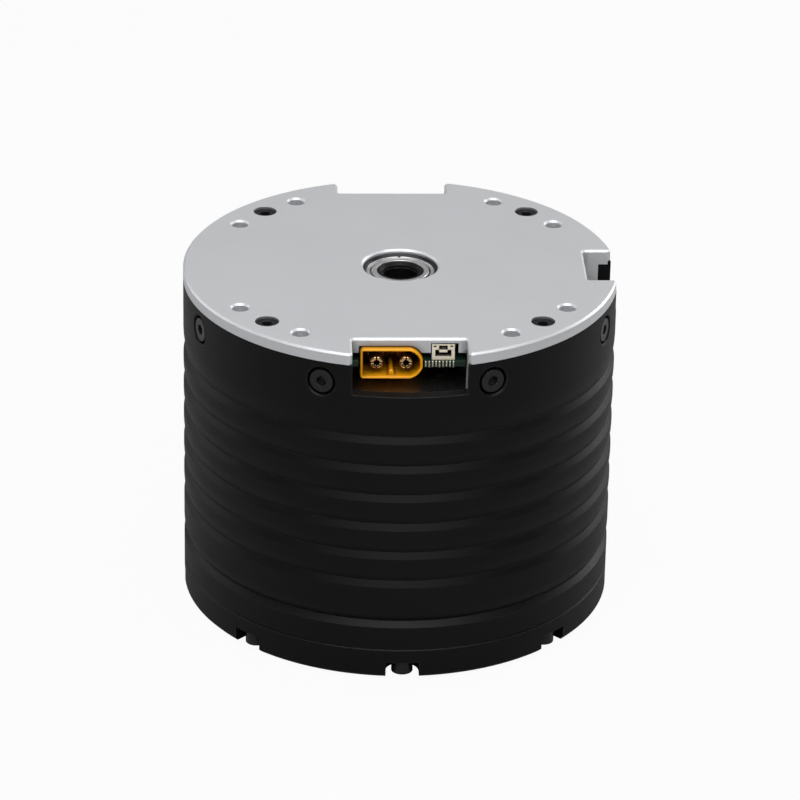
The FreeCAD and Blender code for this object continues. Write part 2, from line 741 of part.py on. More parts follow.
def make_rear_cover_screws():
    body = subpart("rear_cover_screws")
    seat = "cover_top - rear_head_sink - rear_head_height"
    head = cylinder(body, "Head", "Additive", "rear_head", "rear_head_height", z=seat,
                    **polar("tap_circle", "45"))
    shank = cylinder(body, "Shank", "Additive", "small_shank", "rear_screw_length",
                     z=f"{seat} - rear_screw_length", **polar("tap_circle", "45"))
    socket = hex_socket(body, "Socket", z=f"{seat} + rear_head_height - hex_depth",
                        **polar("tap_circle", "45"))
    around(body, "Screws", [head, shank, socket], 4)


# ---------------------------------------------------------------- output bearing and flange

def make_output_flange():
    body = subpart("output_flange")
    revolved(body, "Flange", [
        ("flange_register", "0"),
        ("flange_radius", "0"),
        ("flange_radius", "bearing_low - flange_relief"),
        ("carrier_radius", "bearing_low - flange_relief"),
        ("carrier_radius", "bearing_low"),
        ("output_bearing_bore - slip_fit", "bearing_low"),
        ("output_bearing_bore - slip_fit", "bearing_high"),
        ("rear_bearing_bore", "bearing_high"),
        ("rear_bearing_bore", "flange_register_top"),
        ("flange_register", "flange_register_top"),
    ])
    bolt = cylinder(body, "OutputThread", "Subtractive", "tap_radius", "flange_bolt_depth + cut_over",
                    z="-1", **polar("flange_bolt_circle", "22.5"))
    around(body, "OutputThreads", [bolt], 8)
    pin = cylinder(body, "PinHole", "Subtractive", "planet_pin_radius + slip_fit",
                   "planet_pin_grip + cut_over", x="orbit", z="bearing_high - planet_pin_grip")
    screw = cylinder(body, "ScrewHole", "Subtractive", "carrier_screw_radius + slip_fit",
                     "carrier_screw_grip + cut_over", z="bearing_high - carrier_screw_grip",
                     **polar("post_circle - carrier_head_radius", "60"))
    around(body, "CarrierHoles", [pin, screw], "planet_count")


def make_output_bearing():
    """Crossed-roller bearing: both rings have a V groove, and the rollers lean in and out by turns."""
    groove = "(roller_diameter / 2 + running_fit) * sqrt(2)"
    inner = "roller_circle - free_gap"
    outer = "roller_circle + free_gap"
    mouth = f"({groove} - free_gap)"
    ring = subpart("output_bearing_inner_ring")
    revolved(ring, "InnerRing", [
        ("output_bearing_bore", "bearing_low"),
        (inner, "bearing_low"),
        (inner, f"bearing_middle - {mouth}"),
        (f"roller_circle - {groove}", "bearing_middle"),
        (inner, f"bearing_middle + {mouth}"),
        (inner, "bearing_high"),
        ("output_bearing_bore", "bearing_high"),
    ])
    ring = subpart("output_bearing_outer_ring")
    revolved(ring, "OuterRing", [
        ("output_bearing_outer", "bearing_low"),
        (outer, "bearing_low"),
        (outer, f"bearing_middle - {mouth}"),
        (f"roller_circle + {groove}", "bearing_middle"),
        (outer, f"bearing_middle + {mouth}"),
        (outer, "bearing_high"),
        ("output_bearing_outer", "bearing_high"),
    ])
    rollers = subpart("output_bearing_rollers")
    count = round(2 * value("roller_pairs"))
    for k in range(count):
        angle = 360 * k / count
        tilt = 45 if k % 2 else 135
        cylinder(rollers, f"Roller{k + 1}", "Additive", "roller_diameter / 2", "roller_length",
                 turn=spun(angle, tilt), z=f"bearing_middle - roller_length / 2 * cos({tilt})",
                 **polar(f"roller_circle - roller_length / 2 * sin({tilt})", str(angle)))


def make_output_seal():
    tube("output_seal", "flange_radius + free_gap", "flange_opening",
         "ring_low + seal_sink", "ring_low + seal_sink + seal_height")


# ---------------------------------------------------------------- planetary gear set

def tooth_corners(teeth, module, backlash, inner):
    """One tooth centred on angle 0, as (radius, half angle) from its root to its tip.

    An inner gear's tooth is the space of the matching outer gear, so its flanks face the other way.
    """
    pitch = module * teeth / 2
    base = pitch * math.cos(math.radians(20))
    tip = pitch + (1.25 if inner else 1.0) * module
    root = pitch - (1.0 if inner else 1.25) * module
    spread = math.tan(math.radians(20)) - math.radians(20)
    half = math.pi / 2 / teeth + (backlash if inner else -backlash) / pitch
    start = max(root, base)
    corners = []
    for radius in (start, (start + tip) / 2, tip):
        roll = math.sqrt(max((radius / base) ** 2 - 1, 0.0))
        corners.append((radius, half + spread - (roll - math.atan(roll))))
    return root, corners


def gear_face(teeth, module, backlash, inner=False, turn=0.0):
    """The face inside a gear's whole toothed outline, with three-point arcs for the involute flanks."""
    root, flank = tooth_corners(teeth, module, backlash, inner)
    def point(radius, angle):
        return FreeCAD.Vector(radius * math.cos(angle), radius * math.sin(angle), 0)
    edges = []
    step = 2 * math.pi / teeth
    for k in range(teeth):
        middle = math.radians(turn) + k * step
        (r_a, a_a), (r_b, a_b), (r_c, a_c) = flank
        rise = [point(r_a, middle - a_a), point(r_b, middle - a_b), point(r_c, middle - a_c)]
        fall = [point(r_c, middle + a_c), point(r_b, middle + a_b), point(r_a, middle + a_a)]
        foot = point(root, middle - a_a)
        heel = point(root, middle + a_a)
        next_foot = point(root, middle + step - a_a)
        if (foot - rise[0]).Length > 1e-6:
            edges.append(Part.LineSegment(foot, rise[0]).toShape())
        edges.append(Part.Arc(*rise).toShape())
        edges.append(Part.LineSegment(rise[2], fall[0]).toShape())
        edges.append(Part.Arc(*fall).toShape())
        if (heel - fall[2]).Length > 1e-6:
            edges.append(Part.LineSegment(fall[2], heel).toShape())
        edges.append(Part.LineSegment(heel, next_foot).toShape())
    return Part.Face(Part.Wire(edges))


def gear_part(label, shape, place):
    """A sub-part whose shape is made with Part's own functions, put at its place afterwards."""
    part = doc.addObject("Part::Feature", label)
    part.Label = label
    part.Shape = shape
    part.Placement = FreeCAD.Placement(place, FreeCAD.Rotation())
    SUBPARTS.append(part)
    return part


def raised(face, low, high):
    lifted = face.translated(FreeCAD.Vector(0, 0, low))
    return lifted.extrude(FreeCAD.Vector(0, 0, high - low))


def make_ring_gear():
    teeth = round(value("sun_teeth + 2 * planet_teeth"))
    low = value("bearing_high")
    high = value("rear_plate_low")
    blank = Part.makeCylinder(value("gear_bore - slip_fit"), high - low, FreeCAD.Vector(0, 0, low))
    space = gear_face(teeth, value("gear_module"), value("tooth_thinning"), inner=True)
    gear_part("ring_gear", blank.cut(raised(space, low - 1, high + 1)), FreeCAD.Vector())


def make_sun_gear():
    teeth = round(value("sun_teeth"))
    low = value("planet_low")
    face = gear_face(teeth, value("gear_module"), value("tooth_thinning"), turn=180 / teeth)
    toothed = raised(face, low, value("shaft_low"))
    collar = Part.makeCylinder(value("shaft_bore + sun_collar_wall"), value("sun_collar_depth"),
                               FreeCAD.Vector(0, 0, value("shaft_low")))
    bore = Part.makeCylinder(value("shaft_bore"), value("cover_top"))
    gear_part("sun_gear", toothed.fuse(collar).cut(bore), FreeCAD.Vector())


def make_planets():
    teeth = round(value("planet_teeth"))
    count = round(value("planet_count"))
    low = value("planet_low")
    high = value("planet_high")
    bore = Part.makeCylinder(value("planet_bore"), high + 1)
    for k in range(count):
        angle = 2 * math.pi * k / count
        face = gear_face(teeth, value("gear_module"), value("tooth_thinning"), turn=math.degrees(angle))
        place = FreeCAD.Vector(value("orbit") * math.cos(angle), value("orbit") * math.sin(angle), 0)
        gear_part(f"planet_gear_{k + 1}", raised(face, low, high).cut(bore), place)
        bush = subpart(f"planet_bush_{k + 1}")
        spot = polar("orbit", str(360 * k / count))
        cylinder(bush, f"Sleeve{k + 1}", "Additive", "planet_bore - slip_fit", "planet_width",
                 z="planet_low", **spot)
        cylinder(bush, f"SleeveBore{k + 1}", "Subtractive", "planet_pin_radius + running_fit",
                 "planet_width + 2 * cut_over", z="planet_low - cut_over", **spot)


def make_carrier():
    screw = polar("post_circle - carrier_head_radius", "60")
    post = polar("post_circle - carrier_head_radius", "60")
    front = subpart("carrier_front_plate")
    revolved(front, "FrontPlate", [
        ("rear_bearing_bore", "bearing_high"),
        ("carrier_radius", "bearing_high"),
        ("carrier_radius", "front_plate_high"),
        ("rear_bearing_bore", "front_plate_high"),
    ])
    pin_hole = cylinder(front, "FrontPinHole", "Subtractive", "planet_pin_radius + slip_fit",
                        "carrier_front_thickness + 2 * cut_over", x="orbit", z="bearing_high - cut_over")
    screw_hole = cylinder(front, "FrontScrewHole", "Subtractive", "carrier_screw_radius + slip_fit",
                          "carrier_front_thickness + 2 * cut_over", z="bearing_high - cut_over", **screw)
    around(front, "FrontHoles", [pin_hole, screw_hole], "planet_count")
    rear = subpart("carrier_rear_plate")
    revolved(rear, "RearPlate", [
        ("shaft_radius + carrier_shaft_gap", "rear_plate_low"),
        ("carrier_radius", "rear_plate_low"),
        ("carrier_radius", "rear_plate_high"),
        ("shaft_radius + carrier_shaft_gap", "rear_plate_high"),
    ])
    pin_hole = cylinder(rear, "RearPinHole", "Subtractive", "planet_pin_radius + slip_fit",
                        "carrier_rear_thickness + 2 * cut_over", x="orbit", z="rear_plate_low - cut_over")
    head_hole = cylinder(rear, "RearHeadHole", "Subtractive", "carrier_head_radius + screw_head_gap",
                         "carrier_head_height + cut_over", z="rear_plate_high - carrier_head_height", **screw)
    screw_hole = cylinder(rear, "RearScrewHole", "Subtractive", "carrier_screw_radius + slip_fit",
                          "carrier_rear_thickness + 2 * cut_over", z="rear_plate_low - cut_over", **screw)
    around(rear, "RearHoles", [pin_hole, head_hole, screw_hole], "planet_count")
    posts = subpart("carrier_posts")
    sleeve = cylinder(posts, "Post", "Additive", "post_radius", "rear_plate_low - front_plate_high",
                      z="front_plate_high", **post)
    bore = cylinder(posts, "PostBore", "Subtractive", "carrier_screw_radius + slip_fit",
                    "rear_plate_low - front_plate_high + 2 * cut_over",
                    z="front_plate_high - cut_over", **post)
    around(posts, "Posts", [sleeve, bore], "planet_count")
    screws = subpart("carrier_screws")
    head = cylinder(screws, "CarrierHead", "Additive", "carrier_head_radius", "carrier_head_height",
                    z="rear_plate_high - carrier_head_height", **screw)
    shank = cylinder(screws, "CarrierShank", "Additive", "carrier_screw_radius",
                     "rear_plate_high - carrier_head_height - bearing_high + carrier_screw_grip",
                     z="bearing_high - carrier_screw_grip", **screw)
    around(screws, "CarrierScrews", [head, shank], "planet_count")
    pins = subpart("planet_pins")
    pin = cylinder(pins, "Pin", "Additive", "planet_pin_radius",
                   "rear_plate_high - bearing_high + planet_pin_grip",
                   x="orbit", z="bearing_high - planet_pin_grip")
    around(pins, "Pins", [pin], "planet_count")
    washers = subpart("planet_thrust_washers")
    made = []
    for name, low in (("Lower", "front_plate_high"), ("Upper", "rear_plate_low - thrust_washer")):
        disc = cylinder(washers, name + "Washer", "Additive", "thrust_washer_radius", "thrust_washer",
                        x="orbit", z=low)
        hole = cylinder(washers, name + "WasherBore", "Subtractive", "planet_pin_radius + running_fit",
                        "thrust_washer", x="orbit", z=low)
        made += [disc, hole]
    around(washers, "Washers", made, "planet_count")


# ---------------------------------------------------------------- motor

def make_stator():
    core = subpart("stator_core")
    revolved(core, "Core", [
        ("stator_bore_radius", "stator_low"),
        ("stator_radius", "stator_low"),
        ("stator_radius", "stator_high"),
        ("stator_bore_radius", "stator_high"),
    ])
    half_pitch = "180 / stator_slots"
    mouth = "stator_bore_radius + tooth_shoe"
    wall = f"({{0}} * sin({half_pitch}) - tooth_width / 2) / cos({half_pitch})"
    slot = extruded(core, "Slot", "XY_Plane", [
        ("stator_bore_radius - cut_over", "-slot_mouth / 2"),
        (mouth, "-slot_mouth / 2"),
        ("slot_shoulder", "-(" + wall.format(f"({mouth})") + ")"),
        ("slot_bottom", "-(" + wall.format("slot_bottom") + ")"),
        ("slot_bottom", wall.format("slot_bottom")),
        ("slot_shoulder", wall.format(f"({mouth})")),
        (mouth, "slot_mouth / 2"),
        ("stator_bore_radius - cut_over", "slot_mouth / 2"),
    ], "stator_low - cut_over", "stack_length + 2 * cut_over", "Pocket", turn=180 / value("stator_slots"))
    around(core, "Slots", [slot], "stator_slots")
    coils = subpart("stator_coils")
    made = []
    for name, kind, extra, tall in (("Coil", "Additive", "2 * coil_side", "2 * winding_height"),
                                    ("CoilCore", "Subtractive", "0", "8 * coil_gap")):
        width = f"(tooth_width + 2 * coil_gap + {extra})"
        made.append(block(coils, name, kind, "slot_bottom - 4 * coil_gap - coil_inner", width,
                          f"stack_length + {tall}", x="coil_inner", y=f"-{width} / 2",
                          z=f"stator_middle - (stack_length + {tall}) / 2"))
    around(coils, "Coils", made, "stator_slots")


def make_phase_leads():
    body = subpart("phase_leads")
    low = "stator_high + winding_height"
    lead = block(body, "Lead", "Additive", "phase_lead_thickness", "phase_lead_width",
                 f"board_low - ({low})", x="phase_lead_circle - phase_lead_thickness / 2",
                 y="-phase_lead_width / 2", z=low)
    around(body, "Leads", [lead], 3)


def make_rotor():
    shaft = subpart("rotor_shaft")
    collar = "shaft_bore + sun_collar_wall + slip_fit"
    revolved(shaft, "Shaft", [
        (collar, "shaft_low"),
        ("shaft_radius", "shaft_low"),
        ("shaft_radius", "front_race_high"),
        ("shaft_radius + shaft_shoulder", "front_race_high"),
        ("shaft_radius + shaft_shoulder", "rear_race_low"),
        ("shaft_radius", "rear_race_low"),
        ("shaft_radius", "shaft_high"),
        ("shaft_bore", "shaft_high"),
        ("shaft_bore", "shaft_low + sun_collar_depth"),
        (collar, "shaft_low + sun_collar_depth"),
    ])
    hub = subpart("rotor_hub")
    low = "stator_middle - rotor_hub_thickness / 2"
    high = "stator_middle + rotor_hub_thickness / 2"
    revolved(hub, "Hub", [
        ("shaft_radius + shaft_shoulder", low),
        ("back_iron_inner", low),
        ("back_iron_inner", high),
        ("shaft_radius + shaft_shoulder", high),
    ])
    hole = cylinder(hub, "HubHole", "Subtractive", "rotor_hub_hole", "rotor_hub_thickness + 2 * cut_over",
                    x="(back_iron_inner + shaft_radius + shaft_shoulder) / 2", z=f"{low} - cut_over")
    around(hub, "HubHoles", [hole], "rotor_hub_holes")
    tube("rotor_back_iron", "back_iron_inner", "magnet_inner", "stator_low", "stator_high")
    magnets = subpart("rotor_magnets")
    half = "(180 / magnet_count * magnet_share)"
    magnet = extruded(magnets, "Magnet", "XY_Plane", [
        (f"magnet_inner * cos({half})", f"-magnet_inner * sin({half})"),
        (f"magnet_outer * cos({half})", f"-magnet_outer * sin({half})", "magnet_outer", 1),
        (f"magnet_outer * cos({half})", f"magnet_outer * sin({half})"),
        (f"magnet_inner * cos({half})", f"magnet_inner * sin({half})", "magnet_inner", -1),
    ], "stator_low", "stack_length")
    around(magnets, "Magnets", [magnet], "magnet_count")
    tube("rotor_encoder_magnet", "shaft_bore + encoder_magnet_lip", "encoder_magnet_radius",
         "shaft_high", "shaft_high + encoder_magnet_height")


def make_ball_bearing(label, bore, outer, inner_wall, outer_wall, low, high):
    """A ball bearing as its two rings and the ring of balls in their cage between them."""
    tube(label + "_inner_ring", bore, f"{bore} + {inner_wall}", low, high)
    tube(label + "_outer_ring", f"{outer} - {outer_wall}", outer, low, high)
    tube(label + "_balls", f"{bore} + {inner_wall} + running_fit", f"{outer} - {outer_wall} - running_fit",
         f"{low} + bearing_lip", f"{high} - bearing_lip")


def make_motor_end_plate():
    body = subpart("motor_end_plate")
    revolved(body, "EndPlate", [
        ("lip_radius", "end_plate_high"),
        ("rotor_bearing_outer + slip_fit", "end_plate_high"),
        ("rotor_bearing_outer + slip_fit", "rear_race_low"),
        ("boss_radius", "rear_race_low"),
        ("boss_radius", "end_plate_low"),
        ("belt_bore - slip_fit", "end_plate_low"),
        ("belt_bore - slip_fit", "end_plate_high"),
        ("boss_radius", "end_plate_high"),
        ("boss_radius", "end_plate_high + bearing_lip"),
        ("lip_radius", "end_plate_high + bearing_lip"),
    ])
    lead = block(body, "LeadSlot", "Subtractive", "phase_lead_thickness + 2 * phase_lead_gap",
                 "phase_lead_width + 2 * phase_lead_gap", "end_plate_thickness + 2 * cut_over",
                 x="phase_lead_circle - phase_lead_thickness / 2 - phase_lead_gap",
                 y="-phase_lead_width / 2 - phase_lead_gap", z="end_plate_low - cut_over")
    around(body, "LeadSlots", [lead], 3)


# ---------------------------------------------------------------- centre tube

def make_centre_tube():
    tube("centre_tube", "tube_bore", "tube_radius", "flange_register_top", "tube_high")
    tube("output_encoder_magnet", "rear_bearing_bore", "output_magnet_radius",
         "rear_bearing_low - output_magnet_height", "rear_bearing_low")
    shields = subpart("rear_bearing_shields")
    inner = "rear_bearing_bore + rear_inner_race + free_gap / 2"
    outer = "rear_bearing_outer - rear_outer_race"
    revolved(shields, "TopShield", [
        (inner, "rear_bearing_high - shield_sink - shield_thickness"),
        (outer, "rear_bearing_high - shield_sink - shield_thickness"),
        (outer, "rear_bearing_high - shield_sink"),
        (inner, "rear_bearing_high - shield_sink"),
    ])
    revolved(shields, "LowShield", [
        (inner, "rear_bearing_low + shield_sink"),
        (outer, "rear_bearing_low + shield_sink"),
        (outer, "rear_bearing_low + shield_sink + shield_thickness"),
        (inner, "rear_bearing_low + shield_sink + shield_thickness"),
    ])


# ---------------------------------------------------------------- electronics

def make_board():
    board = subpart("controller_board")
    cylinder(board, "Disc", "Additive", "board_radius", "board_thickness", z="board_low")
    block(board, "Tab", "Additive", "window_width - 2 * free_gap", "board_tab_reach", "board_thickness",
          x="window_shift - window_width / 2 + free_gap", y="-board_tab_reach", z="board_low")
    cylinder(board, "CentreHole", "Subtractive", "board_hole", "board_thickness + 2 * cut_over",
             z="board_low - cut_over")
    block(board, "ConnectorBay", "Subtractive", "power_width + 2 * free_gap",
          "board_tab_reach - power_face + power_length + free_gap + cut_over",
          "board_thickness + 2 * cut_over", x="power_centre - power_width / 2 - free_gap",
          y="-board_tab_reach - cut_over", z="board_low - cut_over")
    hole = cylinder(board, "BoardHole", "Subtractive", "small_hole", "board_thickness + 2 * cut_over",
                    z="board_low - cut_over", **polar("standoff_circle", "45"))
    around(board, "BoardHoles", [hole], 4)
    standoffs = subpart("board_standoffs")
    post = cylinder(standoffs, "Standoff", "Additive", "standoff_radius", "board_low - end_plate_high",
                    z="end_plate_high", **polar("standoff_circle", "45"))
    bore = cylinder(standoffs, "StandoffThread", "Subtractive", "small_shank + slip_fit",
                    "board_low - end_plate_high", z="end_plate_high + standoff_floor",
                    **polar("standoff_circle", "45"))
    around(standoffs, "Standoffs", [post, bore], 4)
    screws = subpart("board_screws")
    head = cylinder(screws, "BoardHead", "Additive", "standoff_radius", "board_head_height",
                    z="board_high", **polar("standoff_circle", "45"))
    shank = cylinder(screws, "BoardShank", "Additive", "small_shank", "board_thickness + board_screw_grip",
                     z="board_low - board_screw_grip", **polar("standoff_circle", "45"))
    around(screws, "BoardScrews", [head, shank], 4)


def make_board_parts():
    """The components under the board: six transistors, four capacitors and two encoder chips."""
    transistors = subpart("power_transistors")
    part = block(transistors, "Transistor", "Additive", "transistor_length", "transistor_width",
                 "transistor_height", x="transistor_circle - transistor_length / 2",
                 y="-transistor_width / 2", z="board_low - transistor_height")
    around(transistors, "Transistors", [part], 6)
    capacitors = subpart("bus_capacitors")
    for k, angle in enumerate((165, 195, 345, 15)):
        cylinder(capacitors, f"Capacitor{k + 1}", "Additive", "capacitor_radius", "capacitor_height",
                 z="board_low - capacitor_height", **polar("capacitor_circle", str(angle)))
    chips = subpart("encoder_chips")
    for k, side in enumerate(("-", "")):
        block(chips, f"Chip{k + 1}", "Additive", "chip_size", "chip_size", "chip_height",
              x="-chip_size / 2", y=f"{side}(board_hole + chip_size / 2 + chip_inset) - chip_size / 2",
              z="board_low - chip_height")


def make_power_connector():
    shell = subpart("power_connector_shell")
    extruded(shell, "Shell", "XZ_Plane", power_profile("0"), "power_face - power_length", "power_length")
    extruded(shell, "Cavity", "XZ_Plane", power_profile("-power_wall"), "power_face - power_cavity",
             "power_cavity + cut_over", "Pocket")
    pins = subpart("power_connector_pins")
    lay = FreeCAD.Rotation(FreeCAD.Vector(1, 0, 0), 90)
    middle = "power_low + power_height / 2"
    for name, sign in (("Left", "-"), ("Right", "+")):
        x = f"power_centre {sign} power_pin_pitch / 2"
        cylinder(pins, name + "Pin", "Additive", "power_pin_radius", "power_cavity - power_pin_sink",
                 turn=lay, x=x, y="power_cavity - power_face", z=middle)
        block(pins, name + "Slit", "Subtractive", "power_pin_slit",
              "power_cavity - power_pin_sink - power_pin_root", "2 * power_pin_radius + cut_over",
              x=f"{x} - power_pin_slit / 2", y="power_pin_sink - power_face - cut_over",
              z=f"{middle} - power_pin_radius - cut_over / 2")


def make_signal_connector():
    shell = subpart("signal_connector_shell")
    left = "signal_centre - signal_width / 2"
    block(shell, "SignalShell", "Additive", "signal_width", "signal_length", "signal_height",
          x=left, y="-signal_face", z="board_high")
    block(shell, "SignalCavity", "Subtractive", "signal_width - 2 * signal_wall", "signal_cavity + cut_over",
          "signal_height - 2 * signal_wall", x=f"{left} + signal_wall", y="-signal_face - cut_over",
          z="board_high + signal_wall")
    pins = subpart("signal_connector_pins")
    for name, sign in (("Left", "-"), ("Right", "+")):
        block(pins, name + "SignalPin", "Additive", "signal_pin", "signal_cavity - signal_pin_sink",
              "signal_pin", x=f"signal_centre {sign} signal_pitch / 2 - signal_pin / 2",
              y="-signal_face + signal_pin_sink", z="board_high + signal_height / 2 - signal_pin / 2")
    edge = subpart("board_edge_pins")
    count = int(value("edge_pin_count"))
    centre = "signal_centre - edge_pin_shift"
    for k in range(count):
        block(edge, f"EdgePin{k + 1}", "Additive", "edge_pin_width", "edge_pin_depth", "edge_pin_height",
              x=f"{centre} + ({k} - (edge_pin_count - 1) / 2) * edge_pin_pitch - edge_pin_width / 2",
              y="-board_tab_reach - edge_pin_depth", z="board_high - edge_pin_height")


make_housing()
make_front_cover()
make_rear_cover()
make_front_cover_screws()
make_radial_screws()
make_rear_cover_screws()
make_output_flange()
make_output_bearing()
make_output_seal()
make_ring_gear()
make_sun_gear()
make_planets()
make_carrier()
make_stator()
make_phase_leads()
make_rotor()
make_motor_end_plate()
make_ball_bearing("rotor_front_bearing", "rotor_bearing_bore", "rotor_bearing_outer",
                  "race_wall", "race_wall", "front_race_low", "front_race_high")
make_ball_bearing("rotor_rear_bearing", "rotor_bearing_bore", "rotor_bearing_outer",
                  "race_wall", "race_wall", "rear_race_low", "rear_race_high")
make_ball_bearing("tube_bearing", "rear_bearing_bore", "rear_bearing_outer",
                  "rear_inner_race", "rear_outer_race", "rear_bearing_low", "rear_bearing_high")
make_centre_tube()
make_board()
make_board_parts()
make_power_connector()
make_signal_connector()

doc.recompute()
for item in doc.Objects:
    faults = [state for state in item.State if state in ("Invalid", "Error")]
    if faults:
        raise RuntimeError(f"{item.Name}: {faults}")
for part in SUBPARTS:
    if part.Shape.isNull() or not part.Shape.isValid() or not part.Shape.Solids:
        raise RuntimeError(f"{part.Label} has no valid solid")

os.makedirs("parts", exist_ok=True)
for part in SUBPARTS:
    part.Shape.exportStep(f"parts/{part.Label}.step")
    print(f"{part.Label}: {len(part.Shape.Solids)} solid(s), {part.Shape.Volume:.1f} mm3")
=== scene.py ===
import json
import math

import bmesh
import bpy
from mathutils import Matrix, Vector


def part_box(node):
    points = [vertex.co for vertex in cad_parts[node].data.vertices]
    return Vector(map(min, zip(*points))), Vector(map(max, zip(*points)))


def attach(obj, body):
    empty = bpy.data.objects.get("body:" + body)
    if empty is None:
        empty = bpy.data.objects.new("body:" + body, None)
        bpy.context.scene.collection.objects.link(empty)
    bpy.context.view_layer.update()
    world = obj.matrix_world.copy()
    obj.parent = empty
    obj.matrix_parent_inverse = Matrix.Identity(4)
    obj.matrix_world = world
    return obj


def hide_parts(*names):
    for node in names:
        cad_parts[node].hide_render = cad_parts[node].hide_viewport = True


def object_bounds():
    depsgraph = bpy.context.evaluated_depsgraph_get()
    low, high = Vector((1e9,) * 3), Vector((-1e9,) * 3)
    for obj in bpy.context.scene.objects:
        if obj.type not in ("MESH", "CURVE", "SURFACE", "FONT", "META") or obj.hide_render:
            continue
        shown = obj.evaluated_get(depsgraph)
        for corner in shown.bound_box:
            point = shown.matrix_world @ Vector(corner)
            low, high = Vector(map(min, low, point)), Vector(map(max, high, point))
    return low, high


# The looks of a hollow-shaft robot joint actuator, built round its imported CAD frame.
# The CAD frame is in metres, with +Z up along the joint's axis and the connector window towards
# -Y. The sizes of the pieces are given in millimetres, and made metres by MM.

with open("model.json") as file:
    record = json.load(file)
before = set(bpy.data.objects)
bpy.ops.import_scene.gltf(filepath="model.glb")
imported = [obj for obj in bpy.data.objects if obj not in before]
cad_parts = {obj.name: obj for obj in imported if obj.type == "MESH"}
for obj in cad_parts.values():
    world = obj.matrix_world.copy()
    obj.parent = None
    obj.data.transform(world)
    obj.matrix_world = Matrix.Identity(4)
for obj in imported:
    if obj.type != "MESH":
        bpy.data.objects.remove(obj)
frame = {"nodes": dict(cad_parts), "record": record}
cad_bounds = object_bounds()
MM = 0.001


# ---------------------------------------------------------------- camera, lamps and floor

CAMERA_LENS = 193.0
CAMERA_SENSOR = 36.0
CAMERA_DISTANCE = 1120.6 * MM
CAMERA_ELEVATION = math.radians(25.877)
CAMERA_YAW = math.radians(2.468)
CAMERA_ROLL = math.radians(1.0518)
CLIP_START, CLIP_END = 0.05, 20.0
AIM = Vector((0.0, 0.0, 46.0 * MM))
AIM_RIGHT = 0.5366 * MM
AIM_UP = 5.7758 * MM

# name, place, aim, width, height, power
LAMPS = (
    ("TopLamp", (0.0, -0.1, 1.15), (0, 0, 0.09), 1.3, 1.2, 10.6),
    ("FrontLamp", (0.0, -0.75, 0.85), (0, 0, 0.07), 0.9, 0.5, 8.0),
    ("BackLamp", (0.0, 1.1, 0.62), (0, 0, 0.09), 1.6, 0.6, 0.8),
    ("LeftLamp", (-0.95, 0.45, 0.3), (0, 0, 0.05), 0.7, 0.9, 3.5),
    ("RightLamp", (0.95, 0.6, 0.3), (0, 0, 0.05), 0.5, 0.8, 6.5),
)

# The room's light by the height of its direction, and what the camera sees of the room.
ROOM_HEIGHTS = (-0.3, 0.8)
ROOM_LIGHT = (0.1, 0.42)
ROOM_SEEN = 1.0

FLOOR_HALF = 4.0
FLOOR_GAP = 0.0001
FLOOR_COLOUR = (0.4, 0.4, 0.4)
FLOOR_GLOW = 0.95


def add(tree, kind, inputs):
    """A new node, each of its inputs set to a value or linked to another node's output."""
    node = tree.nodes.new(kind)
    fill(tree, node, inputs)
    return node


def fill(tree, node, inputs):
    """Sets a node's inputs to values, or links them to other nodes' outputs."""
    for name, value in inputs.items():
        if isinstance(value, bpy.types.NodeSocket):
            tree.links.new(value, node.inputs[name])
        else:
            node.inputs[name].default_value = value


def maths(tree, operation, first, second):
    """A sum on two numbers, each a value or a node's output."""
    node = add(tree, "ShaderNodeMath", {0: first, 1: second})
    node.operation = operation
    return node.outputs[0]


def spread(tree, value, old, new=(0.0, 1.0)):
    """A value mapped from one range to another, and held inside it."""
    node = add(tree, "ShaderNodeMapRange", {"Value": value, "From Min": old[0], "From Max": old[1],
                                            "To Min": new[0], "To Max": new[1]})
    return node.outputs["Result"]


def link_object(name, data):
    """A new object in the scene."""
    obj = bpy.data.objects.new(name, data)
    bpy.context.scene.collection.objects.link(obj)
    return obj


def make_camera():
    """A long lens in front of the window, looking down on the rear cover."""
    sin_e, cos_e = math.sin(CAMERA_ELEVATION), math.cos(CAMERA_ELEVATION)
    sin_y, cos_y = math.sin(CAMERA_YAW), math.cos(CAMERA_YAW)
    level = Vector((cos_y, -sin_y, 0.0))
    ahead = Vector((sin_y * cos_e, cos_y * cos_e, -sin_e))
    above = Vector((sin_y * sin_e, cos_y * sin_e, cos_e))
    place = AIM + AIM_RIGHT * level + AIM_UP * above - CAMERA_DISTANCE * ahead
    sin_r, cos_r = math.sin(CAMERA_ROLL), math.cos(CAMERA_ROLL)
    right = cos_r * level + sin_r * above
    up = cos_r * above - sin_r * level
    data = bpy.data.cameras.new("Camera")
    data.lens = CAMERA_LENS
    data.sensor_width = CAMERA_SENSOR
    data.clip_start = CLIP_START
    data.clip_end = CLIP_END
    camera = link_object("Camera", data)
    turn = Matrix((right, up, -ahead)).transposed()
    camera.matrix_world = Matrix.Translation(place) @ turn.to_4x4()
    bpy.context.scene.camera = camera


def make_lamp(name, place, aim, width, height, power):
    """A soft rectangular lamp that points at a place on the object."""
    data = bpy.data.lights.new(name, "AREA")
    data.shape = "RECTANGLE"
    data.size = width
    data.size_y = height
    data.energy = power
    lamp = link_object(name, data)
    lamp.location = place
    lamp.rotation_euler = (Vector(aim) - Vector(place)).to_track_quat("-Z", "Y").to_euler()


